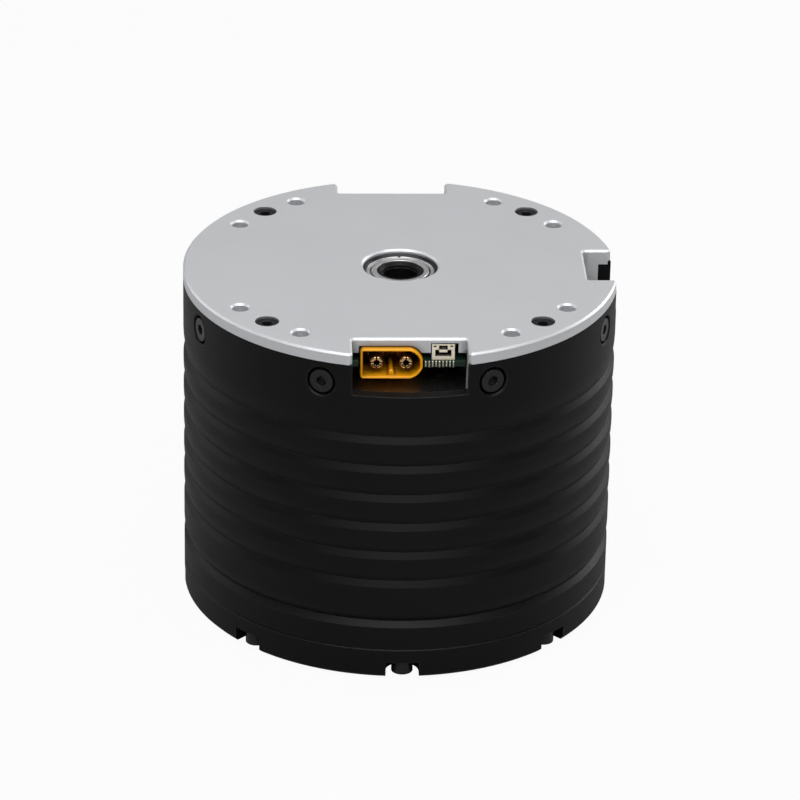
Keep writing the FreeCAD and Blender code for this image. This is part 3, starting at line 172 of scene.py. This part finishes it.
def make_world():
    """A pale room, dimmer below, that shows white to the camera."""
    world = bpy.data.worlds.new("Room")
    bpy.context.scene.world = world
    world.use_nodes = True
    tree = world.node_tree
    seen = add(tree, "ShaderNodeLightPath", {}).outputs["Is Camera Ray"]
    place = add(tree, "ShaderNodeTexCoord", {}).outputs["Generated"]
    height = add(tree, "ShaderNodeSeparateXYZ", {0: place}).outputs["Z"]
    light = spread(tree, height, ROOM_HEIGHTS, ROOM_LIGHT)
    mix = add(tree, "ShaderNodeMix", {"Factor": seen, "A": light, "B": ROOM_SEEN})
    fill(tree, tree.nodes["Background"], {"Strength": mix.outputs["Result"]})


def make_floor():
    """A plain pale floor that shows white to the camera, apart from the object's own shadow."""
    mesh = bpy.data.meshes.new("Floor")
    low = cad_bounds[0][2] - FLOOR_GAP
    corners = ((-1, -1), (1, -1), (1, 1), (-1, 1))
    points = [(x * FLOOR_HALF, y * FLOOR_HALF, low) for x, y in corners]
    mesh.from_pydata(points, [], [(0, 1, 2, 3)])
    floor = link_object("Floor", mesh)
    mat = bpy.data.materials.new("Floor")
    mat.use_nodes = True
    tree = mat.node_tree
    tree.nodes.clear()
    matt = add(tree, "ShaderNodeBsdfDiffuse", {"Color": (*FLOOR_COLOUR, 1)})
    glow = add(tree, "ShaderNodeEmission", {})
    seen = add(tree, "ShaderNodeLightPath", {}).outputs["Is Camera Ray"]
    share = maths(tree, "MULTIPLY", seen, FLOOR_GLOW)
    mix = add(tree, "ShaderNodeMixShader", {0: share, 1: matt.outputs[0], 2: glow.outputs[0]})
    add(tree, "ShaderNodeOutputMaterial", {"Surface": mix.outputs[0]})
    floor.data.materials.append(mat)


make_camera()
make_world()
make_floor()
for lamp_row in LAMPS:
    make_lamp(*lamp_row)
bpy.context.scene.view_settings.view_transform = "Standard"


# ---------------------------------------------------------------- materials

NOISE_MIDDLE = (0.3, 0.7)       # most of a noise's values lie between these
PATCH_SCALE, PATCH_DETAIL = 40, 4
GRAIN_DETAIL = 2
GRAIN_STRENGTH, GRAIN_DEPTH = 0.5, 0.00001
GLOSS_DRIFT = 0.05
BEVEL_SAMPLES = 6
WEAR_AND_HIGHLIGHT_TURN = (0.995, 0.85)       # cosines between which a rounded edge goes from plain to lighter, for wear and as a painted highlight
WEAR_AND_HIGHLIGHT_BREAKS = (0.4, 1.0)
WEAR_AND_HIGHLIGHT_LIGHTER = 1.3
# Painted shade: the colour that hollows darken towards, and how steeply they darken.
PAINTED_SHADE_COLOUR = (0.004, 0.002, 0.001)
PAINTED_SHADE_POWER = 1.5


def noise(tree, vector, scale, detail, stretch=(1, 1, 1)):
    """A noise texture, stretched along the axes."""
    mapping = add(tree, "ShaderNodeMapping", {"Vector": vector, "Scale": stretch})
    texture = add(tree, "ShaderNodeTexNoise", {"Vector": mapping.outputs[0], "Scale": scale,
                                               "Detail": detail})
    return texture.outputs["Fac"]


def mixed(tree, factor, first, second):
    """A colour between two by a factor, each a plain colour or a node's output."""
    mix = tree.nodes.new("ShaderNodeMix")
    mix.data_type = "RGBA"
    ends = [(*colour, 1) if isinstance(colour, tuple) else colour for colour in (first, second)]
    fill(tree, mix, {"Factor": factor, "A": ends[0], "B": ends[1]})
    return mix.outputs["Result"]


def edge_mask(tree, rounded, grains):
    """How much a place lies on a rounded edge that is lightened for wear and as a painted
    highlight, broken up by the grain.
    """
    flat = add(tree, "ShaderNodeNewGeometry", {}).outputs["Normal"]
    turn = add(tree, "ShaderNodeVectorMath", {0: rounded, 1: flat})
    turn.operation = "DOT_PRODUCT"
    wear_and_highlight = spread(tree, turn.outputs["Value"], WEAR_AND_HIGHLIGHT_TURN)
    return maths(tree, "MULTIPLY", wear_and_highlight, spread(tree, grains, NOISE_MIDDLE, WEAR_AND_HIGHLIGHT_BREAKS))


def shaded(tree, colour, reach):
    """A colour that darkens deep inside hollows, driven by the ambient occlusion node: painted
    shade.
    """
    cover = add(tree, "ShaderNodeAmbientOcclusion", {"Distance": reach})
    power = maths(tree, "POWER", cover.outputs["AO"], PAINTED_SHADE_POWER)
    return mixed(tree, power, PAINTED_SHADE_COLOUR, colour)


def finish(name, colour, roughness, metallic=0.0, vary=0.06, grain=2500, stretch=(1, 1, 1),
           edge=0.00015, wear_and_highlight=None, specular=0.5, hollow=0.0):
    """A surface whose colour and gloss drift in patches, with a fine grain, edges lightened both
    for wear and as a painted highlight, and painted shade in hollows where hollow is set.
    """
    mat = bpy.data.materials.new(name)
    mat.use_nodes = True
    tree = mat.node_tree
    place = add(tree, "ShaderNodeTexCoord", {}).outputs["Object"]
    drift = spread(tree, noise(tree, place, PATCH_SCALE, PATCH_DETAIL), NOISE_MIDDLE)
    grains = noise(tree, place, grain, GRAIN_DETAIL, stretch)
    bevel = add(tree, "ShaderNodeBevel", {"Radius": edge})
    bevel.samples = BEVEL_SAMPLES
    rounded = bevel.outputs["Normal"]
    bump = add(tree, "ShaderNodeBump", {"Strength": GRAIN_STRENGTH, "Distance": GRAIN_DEPTH,
                                        "Height": grains, "Normal": rounded})
    dark = tuple(c * (1 - vary) for c in colour)
    light = tuple(min(c * (1 + vary), 1.0) for c in colour)
    # The lighter edge colour stands for wear and also paints the highlight along the edges.
    wear_and_highlight = wear_and_highlight or tuple(min(c * WEAR_AND_HIGHLIGHT_LIGHTER, 1.0) for c in colour)
    mask = edge_mask(tree, rounded, grains)
    painted = mixed(tree, mask, mixed(tree, drift, dark, light), mixed(tree, mask, dark, wear_and_highlight))
    # Painted shade: where hollow is set, the colour darkens in hollows within that reach.
    if hollow:
        painted = shaded(tree, painted, hollow)
    gloss = spread(tree, grains, NOISE_MIDDLE, (roughness - GLOSS_DRIFT, roughness + GLOSS_DRIFT))
    fill(tree, tree.nodes["Principled BSDF"], {
        "Metallic": metallic, "Specular IOR Level": specular, "Base Color": painted,
        "Roughness": gloss, "Normal": bump.outputs["Normal"]})
    return mat


# The hollow reach of a finish sets how far painted shade darkens its colour inside hollows.
materials = {
    # The lighter edge colours are partly wear and partly a painted highlight. On the black
    # anodising they paint the thin highlight lines along ledges and edges.
    "black_anodised": finish("BlackAnodised", (0.0028, 0.0028, 0.0031), 0.5, vary=0.15, grain=3000,
                             edge=0.00022, wear_and_highlight=(0.14, 0.14, 0.145), specular=0.16),
    "silver_anodised": finish("SilverAnodised", (0.66, 0.67, 0.69), 0.48, metallic=0.55, vary=0.015,
                              grain=5000, wear_and_highlight=(0.9, 0.9, 0.92), hollow=0.002),
    "black_steel": finish("BlackSteel", (0.008, 0.008, 0.009), 0.33, vary=0.2,
                          wear_and_highlight=(0.05, 0.05, 0.05), specular=0.35),
    "bearing_steel": finish("BearingSteel", (0.7, 0.7, 0.71), 0.36, metallic=0.9),
    "gear_steel": finish("GearSteel", (0.48, 0.48, 0.5), 0.3, metallic=1.0),
    "lamination_steel": finish("LaminationSteel", (0.3, 0.31, 0.33), 0.4, metallic=0.9,
                               stretch=(0.02, 0.02, 1), grain=3000),
    "copper": finish("Copper", (0.72, 0.32, 0.14), 0.3, metallic=0.9),
    "magnet_nickel": finish("MagnetNickel", (0.55, 0.54, 0.52), 0.25, metallic=1.0),
    "bronze": finish("Bronze", (0.62, 0.44, 0.2), 0.4, metallic=1.0),
    "board_green": finish("BoardGreen", (0.006, 0.025, 0.016), 0.35),
    "chip_black": finish("ChipBlack", (0.03, 0.03, 0.03), 0.5),
    "can_aluminium": finish("CanAluminium", (0.7, 0.7, 0.72), 0.3, metallic=1.0),
    "connector_yellow": finish("ConnectorYellow", (0.95, 0.4, 0.004), 0.38, specular=0.3,
                               hollow=0.0045),
    "connector_cream": finish("ConnectorCream", (0.86, 0.78, 0.62), 0.45, hollow=0.003),
    "gold_pin": finish("GoldPin", (0.9, 0.58, 0.28), 0.25, metallic=1.0, hollow=0.002),
    "seal_rubber": finish("SealRubber", (0.02, 0.02, 0.02), 0.6),
}
tinned = finish("TinnedLead", (0.8, 0.76, 0.6), 0.3, metallic=0.9)

for entry in frame["record"]["subparts"]:
    for slot in frame["nodes"][entry["node"]].material_slots:
        slot.material = materials[entry["material_slot"]]


# ---------------------------------------------------------------- making pieces

SHARP_ANGLE = math.radians(35.0)


def piece(name, bm, body, slot, replaced=(), material=None):
    """A finished mesh that rides on a body and takes its slot's material, or its own."""
    bmesh.ops.recalc_face_normals(bm, faces=bm.faces)
    mesh = bpy.data.meshes.new(name)
    bm.to_mesh(mesh)
    bm.free()
    mesh.polygons.foreach_set("use_smooth", [True] * len(mesh.polygons))
    mesh.set_sharp_from_angle(angle=SHARP_ANGLE)
    obj = link_object(name, mesh)
    obj.data.materials.append(material or materials[slot])
    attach(obj, body)
    if replaced:
        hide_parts(*replaced)
    return obj


def joined(bm, one, other):
    """A band of faces between two closed rings of as many corners."""
    for i in range(len(one)):
        j = (i + 1) % len(one)
        bm.faces.new((one[i], one[j], other[j], other[i]))


def skin(bm, rings):
    """A skin through rings of as many points, closed by a face at either end."""
    loops = [[bm.verts.new(Vector(point) * MM) for point in ring] for ring in rings]
    for one, other in zip(loops, loops[1:]):
        joined(bm, one, other)
    bm.faces.new(loops[0])
    bm.faces.new(loops[-1])


def lathe(bm, profile, steps=96, start=0.0, sweep=360.0):
    """A closed profile of (radius, height) turned about the joint's axis, all round or partly."""
    whole = sweep >= 360.0
    rings = []
    for k in range(steps if whole else steps + 1):
        a = math.radians(start + sweep * k / steps)
        rings.append([bm.verts.new(Vector((r * math.cos(a), r * math.sin(a), z)) * MM)
                      for r, z in profile])
    for one, other in zip(rings, rings[1:]):
        joined(bm, one, other)
    if whole:
        joined(bm, rings[-1], rings[0])
    else:
        bm.faces.new(rings[0])
        bm.faces.new(rings[-1])


def raised(profile, height):
    """A profile of (radius, height) moved up by a height."""
    return [(r, height + z) for r, z in profile]


def inset(loop, distance):
    """A closed flat loop moved inwards by a distance."""
    count = len(loop)
    area = sum(loop[i - 1][0] * loop[i][1] - loop[i][0] * loop[i - 1][1] for i in range(count))
    side = 1.0 if area > 0 else -1.0
    moved = []
    for i in range(count):
        x, z = loop[i]
        (back_x, back_z), (next_x, next_z) = loop[i - 1], loop[(i + 1) % count]
        back = Vector((x - back_x, z - back_z)).normalized()
        ahead = Vector((next_x - x, next_z - z)).normalized()
        first, second = Vector((-back.y, back.x)), Vector((-ahead.y, ahead.x))
        shift = (first + second) * (side * distance / (1 + first.dot(second)))
        moved.append((x + shift.x, z + shift.y))
    return moved


def corner_arc(x, z, turn, cut, radius, steps):
    """Points of a corner rounded by an arc that starts a cut's length away from it."""
    half = math.degrees(math.asin(cut / math.sqrt(2) / radius))
    off = cut / 2 + math.sqrt(radius ** 2 - cut ** 2 / 2) / math.sqrt(2)
    spin = math.radians(turn)
    sx, sz = math.copysign(1, math.cos(spin)), math.copysign(1, math.sin(spin))
    points = []
    for k in range(steps + 1):
        a = math.radians(turn - half + 2 * half * k / steps)
        points.append((x - sx * off + radius * math.cos(a), z - sz * off + radius * math.sin(a)))
    return points


# ---------------------------------------------------------------- the yellow power socket

SOCKET_X, SOCKET_Z = -3.75, 84.65
SOCKET_HALF, SOCKET_RISE = 7.8, 4.05
SOCKET_FACE = -46.2
SOCKET_LENGTH, SOCKET_CAVITY = 17.0, 9.5
SOCKET_WALL = 0.72
SOCKET_DRAFT = 0.05
ROUND_CORNER = (3.0, 4.5, 9)        # cut, radius and steps of the corners at the round end
SQUARE_CORNER = (0.9, 0.9, 5)

# Depth and inset of each ring, from the body's far end over the rounded lip into the cavity.
SOCKET_STAGES = (
    (SOCKET_LENGTH, 0.0), (0.5, 0.0), (0.2, 0.05), (0.05, 0.17), (0.0, 0.3), (0.04, 0.46),
    (0.16, 0.6), (0.45, SOCKET_WALL), (SOCKET_CAVITY, SOCKET_WALL + SOCKET_DRAFT),
)

RIB_HALF, RIB_RISE = 0.6, 1.5
RIB_SPREAD, RIB_SINK = 0.15, 0.2    # its foot is wider and lies in the floor
RIB_DROP, RIB_NARROW = 0.3, 0.25    # its bevelled top edges
RIB_STAGES = ((0.7, 0.86), (0.9, 1.0), (SOCKET_CAVITY, 1.0))    # depth and size of each ring

BULLET_CENTRES = (-7.4, -0.1)
BULLET_SLIT = 0.17                  # half the slit between two springs
BULLET_STEPS = 6
# Depth, outer radius and inner radius of each ring of a spring.
BULLET_STAGES = (
    (0.85, 1.3, 0.85), (0.93, 1.5, 0.75), (1.12, 1.64, 0.72), (1.5, 1.73, 0.72),
    (2.2, 1.75, 0.75), (7.2, 1.75, 0.75),
)
COLLAR_STAGES = ((7.0, 1.2), (7.0, 2.0), (7.6, 2.05), (9.4, 2.05))      # depth and radius
COLLAR_STEPS = 24


def make_power_socket():
    """The yellow socket: a rounded lip, a deep cavity and a keying rib on its floor."""
    left, right = SOCKET_X - SOCKET_HALF, SOCKET_X + SOCKET_HALF
    low, high = SOCKET_Z - SOCKET_RISE, SOCKET_Z + SOCKET_RISE
    loop = (corner_arc(right, low, -45, *ROUND_CORNER) + corner_arc(right, high, 45, *ROUND_CORNER)
            + corner_arc(left, high, 135, *SQUARE_CORNER)
            + corner_arc(left, low, 225, *SQUARE_CORNER))
    bm = bmesh.new()
    skin(bm, [[(x, SOCKET_FACE + deep, z) for x, z in inset(loop, wall)]
              for deep, wall in SOCKET_STAGES])
    floor = low + SOCKET_WALL
    section = [(-RIB_HALF - RIB_SPREAD, -RIB_SINK), (RIB_HALF + RIB_SPREAD, -RIB_SINK),
               (RIB_HALF, RIB_RISE - RIB_DROP), (RIB_HALF - RIB_NARROW, RIB_RISE),
               (-RIB_HALF + RIB_NARROW, RIB_RISE), (-RIB_HALF, RIB_RISE - RIB_DROP)]
    skin(bm, [[(SOCKET_X + x * size, SOCKET_FACE + deep, floor + z * size) for x, z in section]
              for deep, size in RIB_STAGES])
    piece("power_socket_body", bm, "casing", "connector_yellow", ["power_connector_shell"])


def around(centre, deep, radius, angle):
    """A point on a circle round a bullet's axis."""
    return (centre + radius * math.cos(angle), SOCKET_FACE + deep,
            SOCKET_Z + radius * math.sin(angle))


def spring_arc(centre, deep, radius, quarter):
    """An arc of one of a bullet's four springs, short of the slits at either side."""
    gap = math.asin(BULLET_SLIT / radius)
    start = math.radians(90 * quarter) + gap
    sweep = math.pi / 2 - 2 * gap
    return [around(centre, deep, radius, start + sweep * k / BULLET_STEPS)
            for k in range(BULLET_STEPS + 1)]


def make_power_pins():
    """Two gilt bullets, each split into four springs round a hollow."""
    bm = bmesh.new()
    for centre in BULLET_CENTRES:
        for quarter in range(4):
            skin(bm, [spring_arc(centre, deep, outer, quarter)
                      + spring_arc(centre, deep, inner, quarter)[::-1]
                      for deep, outer, inner in BULLET_STAGES])
        skin(bm, [[around(centre, deep, radius, math.radians(360 / COLLAR_STEPS * k))
                   for k in range(COLLAR_STEPS)] for deep, radius in COLLAR_STAGES])
    piece("power_socket_pins", bm, "casing", "gold_pin", ["power_connector_pins"])


# ---------------------------------------------------------------- the cream signal socket

SIGNAL_LEFT, SIGNAL_FACE, SIGNAL_TOP = 6.3, -44.7, 89.45
SIGNAL_WIDTH, SIGNAL_HEIGHT, SIGNAL_LENGTH = 5.7, 4.35, 4.4
SIGNAL_BEVEL = 0.05 * MM
SAME_CORNER = 0.01 * MM

# From and to a distance from the nearer side, from and to a drop from the top, and the depth
# there. Those that end at the whole width cross the middle. A later row overrules an earlier one.
SIGNAL_RECESSES = (
    (0.42, 1.12, 0.4, 0.82, 2.4),
    (1.8, SIGNAL_WIDTH, 0.4, 1.55, 3.2),
    (2.25, SIGNAL_WIDTH, 1.2, 1.55, 1.0),
    (0.86, SIGNAL_WIDTH, 1.55, 3.35, 3.4),
    (1.8, SIGNAL_WIDTH, 1.55, 2.25, 0.0),
)


def signal_depth(x, drop):
    """How deep the face of the cream socket lies at a place, from its top left corner."""
    side = min(x, SIGNAL_WIDTH - x)
    depth = 0.0
    for near, far, upper, lower, deep in SIGNAL_RECESSES:
        if near < side < far and upper < drop < lower:
            depth = deep
    return depth


def make_signal_socket():
    """The cream socket: a face with stepped recesses, and a hair's bevel on all its edges."""
    bm = bmesh.new()
    sides = {side for recess in SIGNAL_RECESSES for side in recess[0:2]}
    columns = sorted(sides | {SIGNAL_WIDTH - side for side in sides})
    drops = {drop for recess in SIGNAL_RECESSES for drop in recess[2:4]}
    rows = sorted(drops | {0.0, SIGNAL_HEIGHT})
    wide, tall = len(columns) - 1, len(rows) - 1

    def depth(i, j):
        return signal_depth((columns[i] + columns[i + 1]) / 2, (rows[j] + rows[j + 1]) / 2)

    def corner(i, j, deep):
        return bm.verts.new(Vector((SIGNAL_LEFT + columns[i], SIGNAL_FACE + deep,
                                    SIGNAL_TOP - rows[j])) * MM)

    def wall(start, end, front, back):
        bm.faces.new([corner(*start, front), corner(*end, front), corner(*end, back),
                      corner(*start, back)])

    for i in range(wide):
        for j in range(tall):
            here = depth(i, j)
            bm.faces.new([corner(i, j, here), corner(i, j + 1, here), corner(i + 1, j + 1, here),
                          corner(i + 1, j, here)])
            for p, q in ((i + 1, j), (i, j + 1)):
                if p < wide and q < tall and depth(p, q) != here:
                    wall((p, q), (i + 1, j + 1), here, depth(p, q))
    for i in range(wide):
        for j in (0, tall):
            wall((i, j), (i + 1, j), 0, SIGNAL_LENGTH)
    for j in range(tall):
        for i in (0, wide):
            wall((i, j), (i, j + 1), 0, SIGNAL_LENGTH)
    bmesh.ops.remove_doubles(bm, verts=bm.verts, dist=SAME_CORNER)
    shell = piece("signal_socket_body", bm, "casing", "connector_cream", ["signal_connector_shell"])
    bevel = shell.modifiers.new("Edges", "BEVEL")
    bevel.width = SIGNAL_BEVEL
    bevel.segments = 2
    bevel.limit_method = "ANGLE"


# ---------------------------------------------------------------- the leads on the board's edge

LEADS = 9
LEAD_SLOT = 0.5
LEAD_EDGE_IN, LEAD_EDGE_BACK = 0.06, 0.05       # its bevelled front edges
# Share of the way down, distance behind the foremost point, and width.
LEAD_STAGES = (
    (0.0, 0.42, 0.28), (0.08, 0.2, 0.34), (0.3, 0.1, 0.36), (0.75, 0.02, 0.36),
    (0.9, 0.0, 0.4), (1.0, 0.06, 0.3),
)


def make_leads():
    """Nine narrow tinned leads that bend over the board's edge."""
    (low_x, low_y, low_z), (high_x, high_y, high_z) = (
        tuple(v / MM for v in c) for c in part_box("board_edge_pins"))
    bm = bmesh.new()
    pitch = (high_x - low_x - LEAD_SLOT) / (LEADS - 1)
    for k in range(LEADS):
        x = low_x + LEAD_SLOT / 2 + pitch * k
        rings = []
        for share, behind, width in LEAD_STAGES:
            y, z = low_y + behind, high_z + (low_z - high_z) * share
            half = width / 2
            front = half - LEAD_EDGE_IN
            edge = y + LEAD_EDGE_BACK
            rings.append([(x - half, edge, z), (x - front, y, z), (x + front, y, z),
                          (x + half, edge, z), (x + half, high_y, z), (x - half, high_y, z)])
        skin(bm, rings)
    piece("board_leads", bm, "casing", "gold_pin", ["board_edge_pins"], tinned)


# ---------------------------------------------------------------- the tube's bearing in the cover

BEARING_RISE = 0.6                  # how far the drawn face lies above the solid ring
WIRE_STEPS, WIRE_START, WIRE_SWEEP = 120, 92.0, 356.0      # the wire ring's ends leave a gap
RING_BORE, RING_OUTSIDE = 6.0, 7.4
LIP_BORE, LIP_OUTSIDE = 4.6, 5.96
LIP_FOOT = 0.05

# Radius, and height from the top of the inner ring.
# The dark ring is painted shade: a black sleeve where the bore wall and the outer ring's edge lie
# in shade.
SHADE_RING_PROFILE = ((8.8, -2.0), (9.6, -2.0), (9.6, 0.25), (9.5, 0.35), (8.9, -0.05), (8.8, -0.15))
SHIELD_PROFILE = ((7.85, -0.35), (7.95, -0.28), (8.3, -0.28), (8.36, -0.42), (8.8, -0.42),
                  (8.8, -0.8), (7.85, -0.8))
WIRE_PROFILE = ((8.42, -0.4), (8.46, -0.2), (8.58, -0.12), (8.7, -0.2), (8.74, -0.4))
RING_FACE = ((RING_OUTSIDE, -0.2), (7.3, -0.06), (7.15, 0.0), (6.3, 0.0), (6.1, -0.08),
             (RING_BORE, -0.3))
LIP_FACE = ((LIP_OUTSIDE, -0.22), (5.8, -0.12), (5.3, -0.12), (4.9, -0.5), (LIP_BORE, -0.8))
# Radius, and height from the bottom of the inner ring.
RING_FOOT = ((RING_BORE, 0.2), (6.2, 0.0), (7.2, 0.0), (RING_OUTSIDE, 0.2))


def make_bearing_face():
    """The bearing: a dark ring of painted shade over the bore wall and the outer ring's edge, a
    shield with its wire ring, the inner ring and the tube's lip.
    """
    low, high = (corner[2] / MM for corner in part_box("tube_bearing_inner_ring"))
    top = high + BEARING_RISE
    # A black ring that paints the shade on the bore wall and the outer ring's edge.
    shade_ring = bmesh.new()
    lathe(shade_ring, raised(SHADE_RING_PROFILE, top))
    piece("tube_bearing_shade_ring", shade_ring, "casing", "black_steel")
    shield = bmesh.new()
    lathe(shield, raised(SHIELD_PROFILE, top))
    lathe(shield, raised(WIRE_PROFILE, top), WIRE_STEPS, WIRE_START, WIRE_SWEEP)
    piece("tube_bearing_shield", shield, "casing", "bearing_steel", ["rear_bearing_shields"])
    ring = bmesh.new()
    lathe(ring, raised(RING_FOOT, low) + raised(RING_FACE, top))
    piece("tube_bearing_inner", ring, "output", "bearing_steel", ["tube_bearing_inner_ring"])
    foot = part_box("centre_tube")[1][2] / MM - LIP_FOOT
    lip = bmesh.new()
    lathe(lip, [(LIP_BORE, foot), (LIP_OUTSIDE, foot)] + raised(LIP_FACE, top))
    piece("centre_tube_lip", lip, "output", "black_anodised")


make_power_socket()
make_power_pins()
make_signal_socket()
make_leads()
make_bearing_face()
